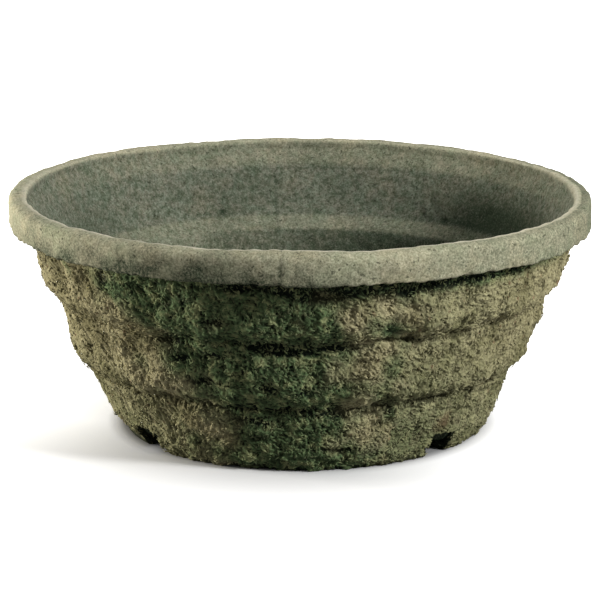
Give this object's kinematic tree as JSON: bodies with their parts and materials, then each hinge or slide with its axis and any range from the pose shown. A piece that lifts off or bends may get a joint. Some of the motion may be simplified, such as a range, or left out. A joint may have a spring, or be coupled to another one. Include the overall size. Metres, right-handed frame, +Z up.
{
  "type": "round patio planter",
  "caption": "Low round bowl planter of thick moulded pulp with a smooth rolled rim and inside, a rough outside in stepped tiers, and drain notches at the foot.",
  "frame": {"origin": "centre of the foot's underside, on the ground", "axes": "+Z up along the bowl's axis; -Y is the front, which faces the camera, between the two drain notches in view"},
  "size_m": [0.4064, 0.4064, 0.165],
  "materials": {
    "smooth_pulp": "matt felted fibre, pressed smooth against the mould, grey-tan with fine dark and light flecks",
    "rough_pulp": "matt shaggy fibre left rough on the free side, olive-tan lumps with dark moss-green hollows"
  },
  "bodies": {
    "root": {"rim": "smooth_pulp", "upper_inner_wall": "smooth_pulp", "upper_ledge": "smooth_pulp", "middle_inner_wall": "smooth_pulp", "lower_ledge": "smooth_pulp", "lower_inner_wall": "smooth_pulp", "floor_corner": "smooth_pulp", "floor": "smooth_pulp", "upper_tier": "rough_pulp", "middle_tier": "rough_pulp", "lower_tier": "rough_pulp", "foot_band": "rough_pulp", "foot_front": "rough_pulp", "foot_right": "rough_pulp", "foot_back": "rough_pulp", "foot_left": "rough_pulp"}
  },
  "joints": []
}
